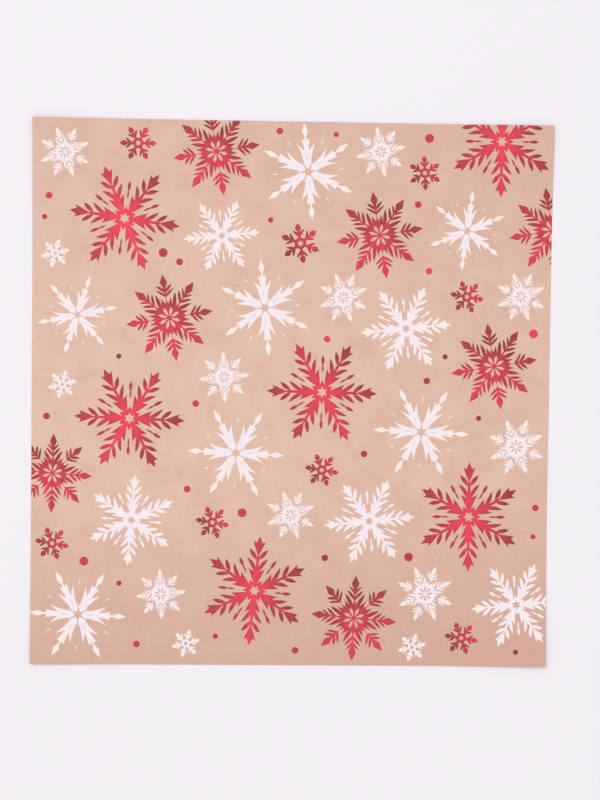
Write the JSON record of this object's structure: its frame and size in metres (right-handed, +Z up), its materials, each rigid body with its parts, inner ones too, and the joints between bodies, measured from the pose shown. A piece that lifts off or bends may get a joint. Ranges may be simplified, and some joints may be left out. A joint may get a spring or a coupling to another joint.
{
  "type": "wrapping paper sheet",
  "caption": "Flat, nearly square sheet of kraft gift wrap, printed on its upper face with white and red snowflakes and red dots.",
  "frame": {"origin": "middle of the sheet's underside", "axes": "+X across the sheet, +Y along its longer side, +Z up out of the printed face"},
  "size_m": [0.7, 0.735, 0.0001],
  "materials": {
    "kraft_paper": "uncoated natural kraft with short fibres and small dark flecks",
    "red_ink": "satin metallic red print film that shades from dark to bright across each motif",
    "white_ink": "opaque matt white print film"
  },
  "bodies": {
    "root": {"kraft_sheet": "kraft_paper", "large_red_dots": "red_ink", "medium_red_dots": "red_ink", "red_bud_flake_1": "red_ink", "red_bud_flake_2": "red_ink", "red_bud_flake_3": "red_ink", "red_bud_flake_4": "red_ink", "red_bud_flake_5": "red_ink", "red_bud_flake_6": "red_ink", "red_bud_flake_7": "red_ink", "red_bud_flake_8": "red_ink", "red_fern_flake_1": "red_ink", "red_fern_flake_2": "red_ink", "red_fern_flake_3": "red_ink", "red_fern_flake_4": "red_ink", "red_fern_flake_5": "red_ink", "red_fern_flake_6": "red_ink", "red_star_flake_1": "red_ink", "red_star_flake_2": "red_ink", "red_star_flake_3": "red_ink", "red_star_flake_4": "red_ink", "red_star_flake_5": "red_ink", "red_star_flake_6": "red_ink", "red_star_flake_7": "red_ink", "small_red_dots": "red_ink", "white_bud_flake_1": "white_ink", "white_bud_flake_2": "white_ink", "white_bud_flake_3": "white_ink", "white_bud_flake_4": "white_ink", "white_fern_flake_1": "white_ink", "white_fern_flake_2": "white_ink", "white_fern_flake_3": "white_ink", "white_fern_flake_4": "white_ink", "white_fern_flake_5": "white_ink", "white_shard_flake_1": "white_ink", "white_shard_flake_2": "white_ink", "white_shard_flake_3": "white_ink", "white_shard_flake_4": "white_ink", "white_shard_flake_5": "white_ink", "white_shard_flake_6": "white_ink", "white_shard_flake_7": "white_ink", "white_star_flake_1": "white_ink", "white_star_flake_2": "white_ink", "white_star_flake_3": "white_ink", "white_star_flake_4": "white_ink", "white_star_flake_5": "white_ink", "white_star_flake_6": "white_ink", "white_star_flake_7": "white_ink", "white_star_flake_8": "white_ink", "white_star_flake_9": "white_ink"}
  },
  "joints": []
}
